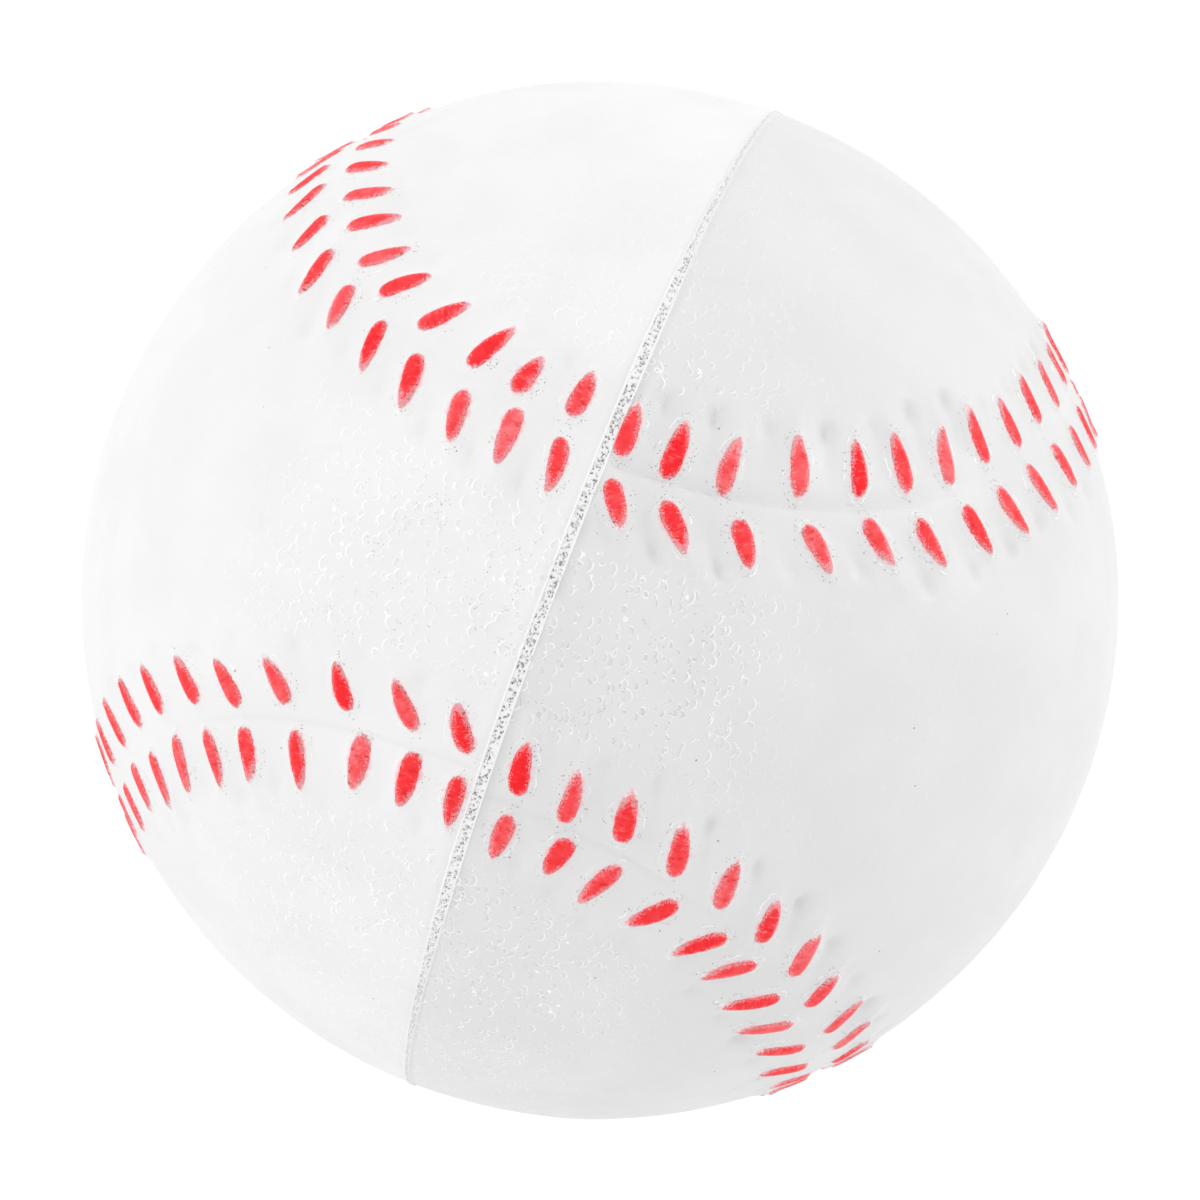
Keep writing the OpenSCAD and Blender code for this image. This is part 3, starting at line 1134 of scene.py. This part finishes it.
def pinholes(tree, width, share_of_cells, radius):
    """Round pinholes: 1 in a hole and 0 around it."""
    cells = add_node(tree, "ShaderNodeTexVoronoi", {"Vector": on_piece(tree), "Scale": 1 / width})
    drawn = add_node(tree, "ShaderNodeSeparateColor", {"Color": cells.outputs["Color"]}).outputs
    chosen = Value(drawn["Red"]).worked("LESS_THAN", share_of_cells)
    size = Value(drawn["Green"]).worked("MULTIPLY_ADD", 0.6, 0.5)
    near = Value(cells.outputs["Distance"]).worked("DIVIDE", size)
    return near.slope(radius / width * 1.5, radius / width * 0.6) * chosen


def fine_scales(tree, half):
    """Fine scales between the pebbles: a painted highlight line, painted shade inside it and the
    top.

    Both halves come out of one mould, so the left half has the right half's scales,
    turned with it.
    """
    pitch = bpy.context.scene.grain_sizes.scale
    turned = add_node(tree, "ShaderNodeMapping",
                      {"Vector": on_piece(tree),
                       "Rotation": (0, 0, math.pi if half == LEFT else 0)}).outputs["Vector"]
    wobble = add_node(tree, "ShaderNodeTexNoise",
                      {"Vector": turned, "Scale": 1 / (0.8 * MM), "Detail": 2.0})
    wobble = vectors(tree, "SUBTRACT", wobble.outputs["Color"], (0.5, 0.5, 0.5))
    moved = vectors(tree, "MULTIPLY_ADD", wobble, (0.3 * MM, 0.3 * MM, 0.3 * MM), turned)
    cells = add_node(tree, "ShaderNodeTexVoronoi", {"Vector": moved, "Scale": 1 / pitch})
    from_middle = vectors(tree, "SUBTRACT", moved, cells.outputs["Position"])
    away = vectors(tree, "DOT_PRODUCT", from_middle, (1 / pitch, 0.25 / pitch, 0))
    aside = vectors(tree, "DOT_PRODUCT", from_middle, (0, 0, 1 / pitch))
    sway = noise(tree, 4 * MM).slope(0.36, 0.64, -1.1, 1.1)
    facing = aside.worked("MULTIPLY_ADD", sway, away)
    near = Value(cells.outputs["Distance"])
    some = noise(tree, 1.7 * MM, 1).slope(0.4, 0.5) * noise(tree, 0.5 * MM, 1).slope(0.36, 0.46)
    edge = facing.slope(0.04, 0.16) * some
    return (near.window(0.37, 0.41, 0.43, 0.48) * edge, near.window(0.12, 0.33, 0.35, 0.41) * edge,
            near.slope(0.47, 0.37) * (facing.slope(0.0, 0.4) * some))


# Colour of the painted highlights: the bright lines round the pebbles and the bright rings round
# the stitches
HIGHLIGHT_WHITE = (0.99, 0.99, 0.99)
# Colour of the painted highlight along the bead on each skin's rim
LIP_HIGHLIGHT = (0.97, 0.97, 0.97)


def skin_material(tone, half):
    """White moulded skin: satin, faintly mottled, with pebbles, pinholes and paint haze, and
    painted highlights and painted shade.
    """
    material, tree, shader = new_material("White moulded skin, " + half)
    left = half == LEFT
    in_stitch, in_pebble, from_rim, tilt, grain = (
        mark(tree, name) for name in ("in_stitch", "in_pebble", "from_rim", "tilt", "grain"))
    base = blend(noise(tree, 7 * MM, 4).slope(0.35, 0.65), tone, darker(tone, 0.965))

    # The rim's bead gets a painted highlight and the skin just beside it painted shade, both
    # fainter where less was trimmed
    clear = mark(tree, "faint").left_of_one()
    shade_beside_lip = from_rim.slope(0.09, 0.14) * from_rim.slope(0.75, 0.15, 0, 0.55)
    shade_beside_lip = shade_beside_lip * noise(tree, 4 * MM).slope(0.35, 0.6) * clear
    base = blend(shade_beside_lip * (0.25 if left else 1.0), base, darker(tone, 0.8))
    lip = from_rim.slope(0.11, 0.07) * clear.slope(0.0, 1.0, 0.15, 0.9)
    base = blend(lip, base, LIP_HIGHLIGHT)

    # Painted shade and a painted highlight line on the pebbles' and the scales' raised side
    scale_highlight, scale_shade, scale_top = fine_scales(tree, half)
    raised = tilt.slope(0.1, 0.8) * noise(tree, 0.9 * MM).slope(0.38, 0.5)
    shade = (raised * in_pebble.window(0.05, 0.12, 0.14, 0.3)).most(scale_shade) * grain
    base = blend((shade * (0.4 if left else 1.1)).least(1.0), base, darker(tone, 0.82))
    line = (raised * in_pebble.window(-0.05, 0, 0.02, 0.07)).most(scale_highlight) * grain
    base = blend((line * 2.4).least(1.0), base, HIGHLIGHT_WHITE)

    # A broken painted highlight ring round a stitch, pinholes whose dark colour is painted shade
    # inside them, and the haze of paint
    ring = in_stitch + noise(tree, 1.2 * MM).slope(0.2, 0.8, -0.16, 0.16)
    ring = ring.window(-0.46, -0.42, -0.4, -0.36) * noise(tree, 1 * MM).slope(0.54, 0.6)
    # Painted highlight ring round each stitch
    base = blend(ring, base, HIGHLIGHT_WHITE)
    patchy = noise(tree, 2.6 * MM).slope(*((0.5, 0.58) if left else (0.4, 0.5)))
    beside = in_stitch.window(-0.75, -0.5, -0.24, -0.12) * patchy
    sparse = grain * noise(tree, 1.3 * MM).slope(0.54, 0.64, 0, 0.7)
    specks = pinholes(tree, 0.15 * MM, 0.65, 0.03 * MM) * beside.most(sparse)
    holes = pinholes(tree, 1.3 * MM, 0.2, 0.05 * MM).most(specks)
    # Painted shade in the pinholes
    base = blend(holes * 0.6, base, darker(tone, 0.35))
    haze = in_stitch + noise(tree, 0.35 * MM, 3).slope(0.2, 0.8, -0.14, 0.14)
    base = blend(haze.slope(-0.2, 0.04, 0, 0.75), base, bpy.context.scene.finish.thin_paint)

    pebble = (in_pebble.slope(-0.02, 0.06) * tilt.slope(-0.05, 0.7)).most(scale_top) * grain
    relief = bump(noise(tree, 0.12 * MM, 3, 0.6), 0.006 * MM)
    for height, depth in ((noise(tree, 0.5 * MM), 0.02), (pebble, 0.025 if left else 0.05),
                          (ring, 0.012), (holes.left_of_one(), 0.06)):
        relief = bump(height, depth * MM, relief)
    rough = noise(tree, 1.4 * MM, 5).slope(0.3, 0.7, 0.42, 0.56)
    set_inputs(shader, {"Base Color": base, "Roughness": rough, "Specular IOR Level": 0.45,
                        "Normal": relief})
    return material


# Colour of the paint where it ran thick
DEEP_RED = (0.9, 0.014, 0.02)


def paint_material():
    """Red paint dabbed on by hand: thick in the middle, speckled and pink at its edge."""
    material, tree, shader = new_material("Dabbed red paint")
    finish = bpy.context.scene.finish
    skin = tuple(finish.left_skin)
    place = add_node(tree, "ShaderNodeUVMap", uv_map="Dab").outputs["UV"]
    part, across = (Value(socket) for socket in
                    add_node(tree, "ShaderNodeSeparateXYZ", {"Vector": place}).outputs[:2])

    # How much of the stitch the dab covers, with a ragged edge
    part_in = Value(add_node(tree, "ShaderNodeClamp", {"Value": part}).outputs[0])
    part_left = part_in.left_of_one()
    outline = part_in ** BUTT * part_left ** TAPER * (1 / FULL)
    inside = outline - across.worked("ABSOLUTE")
    inside = inside + (part_in * part_left).slope(0.02, 0.15, -0.2, 0.04)
    ragged = noise(tree, 0.14 * MM, 4, 0.7).slope(0.2, 0.8, -0.36, 0.36)
    cover = inside + ragged + 0.26 + noise(tree, 3 * MM).slope(0.35, 0.62, -0.2, 0.1)

    # How thick the paint lies: each dab has its own thinness, streaks and thin tip
    number = mark(tree, "dab_number")
    chance = add_node(tree, "ShaderNodeTexWhiteNoise", {"W": number}, noise_dimensions="1D")
    thin_dab, streaked, thin_tip = (
        Value(socket) for socket in
        add_node(tree, "ShaderNodeSeparateColor", {"Color": chance.outputs["Color"]}).outputs)
    thin_tip = thin_tip.slope(0.2, 1) * part.slope(0.5, 0.95)
    flecks = noise(tree, 0.07 * MM).slope(0.3, 0.7, -0.2, 0.2)
    thick = cover - thin_tip * 0.3 + flecks
    tint = blend(cover.slope(-0.4, 0.06), skin, finish.thin_paint)
    red = blend(thin_dab ** 2.0 * 0.45, finish.paint, finish.thin_paint)
    red = blend(noise(tree, 0.7 * MM, 3).slope(0.3, 0.7, 0, 0.6), red, DEEP_RED)
    base = blend(thick.slope(0.03, 0.55), tint, red)

    # Streaks of the brush across the stitch, and chips down to the skin
    brush = add_node(tree, "ShaderNodeCombineXYZ",
                     {"X": part * 17.0, "Y": across * 1.1, "Z": number * 3.7}).outputs[0]
    streaks = noise(tree, 1.0, place=brush)
    base = blend(streaks.slope(0.54, 0.74, 0, 0.3) * streaked, base, finish.thin_paint)
    base = blend(streaks.slope(0.42, 0.3, 0, 0.7) * streaked, base, darker(DEEP_RED, 0.62))
    base = blend(pinholes(tree, 0.9 * MM, 0.25, 0.05 * MM) * 0.6, base, skin)

    relief = bump(noise(tree, 0.16 * MM, 4, 0.65), 0.03 * MM)
    relief = bump(cover.slope(-0.1, 0.4), 0.03 * MM, relief)
    rough = noise(tree, 0.25 * MM, 4).slope(0.3, 0.7, 0.4, 0.6)
    set_inputs(shader, {"Base Color": base, "Roughness": rough, "Specular IOR Level": 0.12,
                        "Normal": relief})
    return material


def foam_material():
    """Cut foam: white cell walls round open cells, painted dark with shade deep in them."""
    material, tree, shader = new_material("Cut white foam")
    finish = bpy.context.scene.finish
    walls = blend(noise(tree, 0.3 * MM, 3), darker(finish.foam, 0.96), finish.foam)
    aside = add_node(tree, "ShaderNodeSeparateXYZ", {"Vector": on_piece(tree)}).outputs["Y"]
    far = Value(aside).worked("ABSOLUTE").slope(0.4 * BALL_R, 0.85 * BALL_R)
    walls = blend(far, walls, darker(finish.foam, 0.9))
    # Painted shade deep in the cut cells
    base = blend(mark(tree, "cell_depth").slope(0.25, 0.9), walls, finish.foam_pit_shade)
    relief = bump(noise(tree, 0.08 * MM, 4, 0.7), 0.03 * MM)
    set_inputs(shader, {"Base Color": base, "Roughness": 0.8, "Normal": relief})
    return material


def show(tree, kind, to_light, to_camera):
    """Send one shader to the light's rays and another one to the camera's."""
    path = add_node(tree, "ShaderNodeLightPath").outputs
    direct = Value(path["Is Camera Ray"]).most(path["Is Glossy Ray"])
    mix = add_node(tree, "ShaderNodeMixShader",
                   {0: direct.most(path["Is Transmission Ray"]), 1: to_light, 2: to_camera})
    output = next(node for node in tree.nodes if node.type == kind)
    set_inputs(output, {"Surface": mix.outputs[0]})


def floor_material():
    """A white floor that the camera sees as white paper with the ball's faint shadow."""
    material, tree, shader = new_material("White paper floor")
    set_inputs(shader, {"Base Color": (0.8, 0.8, 0.8, 1), "Roughness": 0.9,
                        "Emission Color": (1, 1, 1, 1), "Emission Strength": 0.3})
    seen = add_node(tree, "ShaderNodeBsdfDiffuse", {"Color": (0.12, 0.12, 0.12, 1)})
    glow = add_node(tree, "ShaderNodeEmission", {"Color": (1, 1, 1, 1), "Strength": 0.92})
    paper = add_node(tree, "ShaderNodeAddShader", {0: seen.outputs[0], 1: glow.outputs[0]})
    show(tree, "OUTPUT_MATERIAL", shader.outputs[0], paper.outputs[0])
    return material


# Operators

class BASEBALL_OT_skins(bpy.types.Operator):
    """Model the two moulded skins"""
    bl_idname = "baseball.skins"
    bl_label = "Moulded skins"

    def execute(self, context):
        finish = context.scene.finish
        for half, tone in ((LEFT, finish.left_skin), (RIGHT, finish.right_skin)):
            skin = make_skin(half)
            skin.data.materials.append(skin_material(tuple(tone), half))
            hand_over(skin, "skin", half + "_skin")
        return {"FINISHED"}


class BASEBALL_OT_core(bpy.types.Operator):
    """Model the foam core and the trimmed band"""
    bl_idname = "baseball.core"
    bl_label = "Foam core"

    def execute(self, context):
        core = make_core()
        core.data.materials.append(foam_material())
        hand_over(core, "foam", "foam_core")
        return {"FINISHED"}


class BASEBALL_OT_paint(bpy.types.Operator):
    """Model the paint on the four rows of stitches"""
    bl_idname = "baseball.paint"
    bl_label = "Stitch paint"

    def execute(self, context):
        material = paint_material()
        for half in (LEFT, RIGHT):
            for side, row in ((TOP, "top"), (BOTTOM, "bottom")):
                paint = make_paint(half, side, "_".join(("stitch_paint", half, row)))
                paint.data.materials.append(material)
                hand_over(paint, "paint", "_".join((half, row, "row_paint")))
        return {"FINISHED"}


# The photograph's view, read from its outline and seam
CAMERA_BACK = Vector((0.0864, 0.0663, 0.9941))
CAMERA_UP = Vector((-0.3516, 0.9356, -0.0318))


def camera_frame():
    """The camera's own axes as columns: right, up and back."""
    back = CAMERA_BACK.normalized()
    right = CAMERA_UP.cross(back).normalized()
    return Matrix((right, back.cross(right), back)).transposed()


# Distance of each soft box from the ball's middle, and the box's width
LAMP_DISTANCE, LAMP_WIDTH = 0.5, 0.2


def add_lamp(name, way, power):
    """A square soft box this way from the ball, in the camera's axes."""
    pick_nothing()
    aim = camera_frame() @ Vector(way).normalized()
    bpy.ops.object.light_add(type="AREA", location=aim * LAMP_DISTANCE)
    lamp = bpy.context.object
    lamp.name = name
    lamp.data.shape = "SQUARE"
    lamp.data.size = LAMP_WIDTH
    lamp.data.energy = power
    lamp.rotation_euler = aim.to_track_quat("Z", "Y").to_euler()


# The room's strength at the sides, and behind the camera and the ball, as shares
SIDE_SHARE, BACK_SHARE = 1.13, 0.83


def room_light(tree, studio):
    """The room's strength: lower behind the camera and behind the ball than at the sides."""
    way = add_node(tree, "ShaderNodeTexCoord").outputs["Generated"]
    facing = vectors(tree, "DOT_PRODUCT", way, tuple(CAMERA_BACK.normalized()))
    return add_node(tree, "ShaderNodeMapRange",
                    {"Value": facing.worked("ABSOLUTE"), "From Min": 0.0, "From Max": 1.0,
                     "To Min": studio.ambient * SIDE_SHARE, "To Max": studio.ambient * BACK_SHARE}
                    ).outputs["Result"]


class BASEBALL_OT_studio(bpy.types.Operator):
    """Set the floor, the soft boxes, the room and the camera"""
    bl_idname = "baseball.studio"
    bl_label = "Studio"

    def execute(self, context):
        studio = context.scene.studio
        pick_nothing()
        bpy.ops.mesh.primitive_plane_add(size=studio.floor_width,
                                         location=(0, 0, CAD_BOX[0][2]))
        floor = context.object
        floor.name = "floor"
        floor.data.materials.append(floor_material())
        add_lamp("left_soft_box", (-0.6, 0.2, 0.77), studio.left_lamp)
        add_lamp("right_soft_box", (0.93, 0.34, 0.05), studio.right_lamp)
        world = bpy.data.worlds.new("Room")
        context.scene.world = world
        world.use_nodes = True
        tree = world.node_tree
        light = next(node for node in tree.nodes if node.type == "BACKGROUND")
        set_inputs(light, {"Color": (1, 1, 1, 1), "Strength": room_light(tree, studio)})
        white = add_node(tree, "ShaderNodeBackground", {"Color": (1, 1, 1, 1), "Strength": 1.0})
        show(tree, "OUTPUT_WORLD", light.outputs[0], white.outputs[0])
        bpy.ops.object.camera_add(location=CAMERA_BACK.normalized() * studio.camera_distance)
        camera = context.object
        camera.name = "camera"
        camera.rotation_euler = camera_frame().to_euler()
        camera.data.sensor_fit = "HORIZONTAL"
        camera.data.angle = studio.view_angle
        camera.data.clip_start = 0.01
        camera.data.clip_end = 20
        context.scene.camera = camera
        context.scene.view_settings.view_transform = "Standard"
        return {"FINISHED"}


class BASEBALL_PT_panel(bpy.types.Panel):
    """The steps that make the baseball"""
    bl_idname = "BASEBALL_PT_panel"
    bl_label = "Foam baseball"
    bl_space_type = "VIEW_3D"
    bl_region_type = "UI"
    bl_category = "Baseball"

    def draw(self, context):
        for step in STEPS:
            self.layout.operator(step.bl_idname)


GROUPS = {"ball_sizes": BallSizes, "seam_sizes": SeamSizes, "stitch_sizes": StitchSizes,
          "grain_sizes": GrainSizes, "finish": Finish, "studio": StudioSettings}
STEPS = (BASEBALL_OT_skins, BASEBALL_OT_core, BASEBALL_OT_paint, BASEBALL_OT_studio)


def register():
    """Register the settings, the steps and the panel."""
    for name, group in GROUPS.items():
        bpy.utils.register_class(group)
        setattr(bpy.types.Scene, name, PointerProperty(type=group))
    for step in STEPS:
        bpy.utils.register_class(step)
    bpy.utils.register_class(BASEBALL_PT_panel)


def unregister():
    """Take the panel, the steps and the settings away again."""
    bpy.utils.unregister_class(BASEBALL_PT_panel)
    for step in reversed(STEPS):
        bpy.utils.unregister_class(step)
    for name, group in reversed(GROUPS.items()):
        delattr(bpy.types.Scene, name)
        bpy.utils.unregister_class(group)


def main():
    """Make the baseball and its studio."""
    register()
    bpy.ops.baseball.skins()
    bpy.ops.baseball.core()
    bpy.ops.baseball.paint()
    bpy.ops.baseball.studio()


if __name__ == "__main__":
    main()
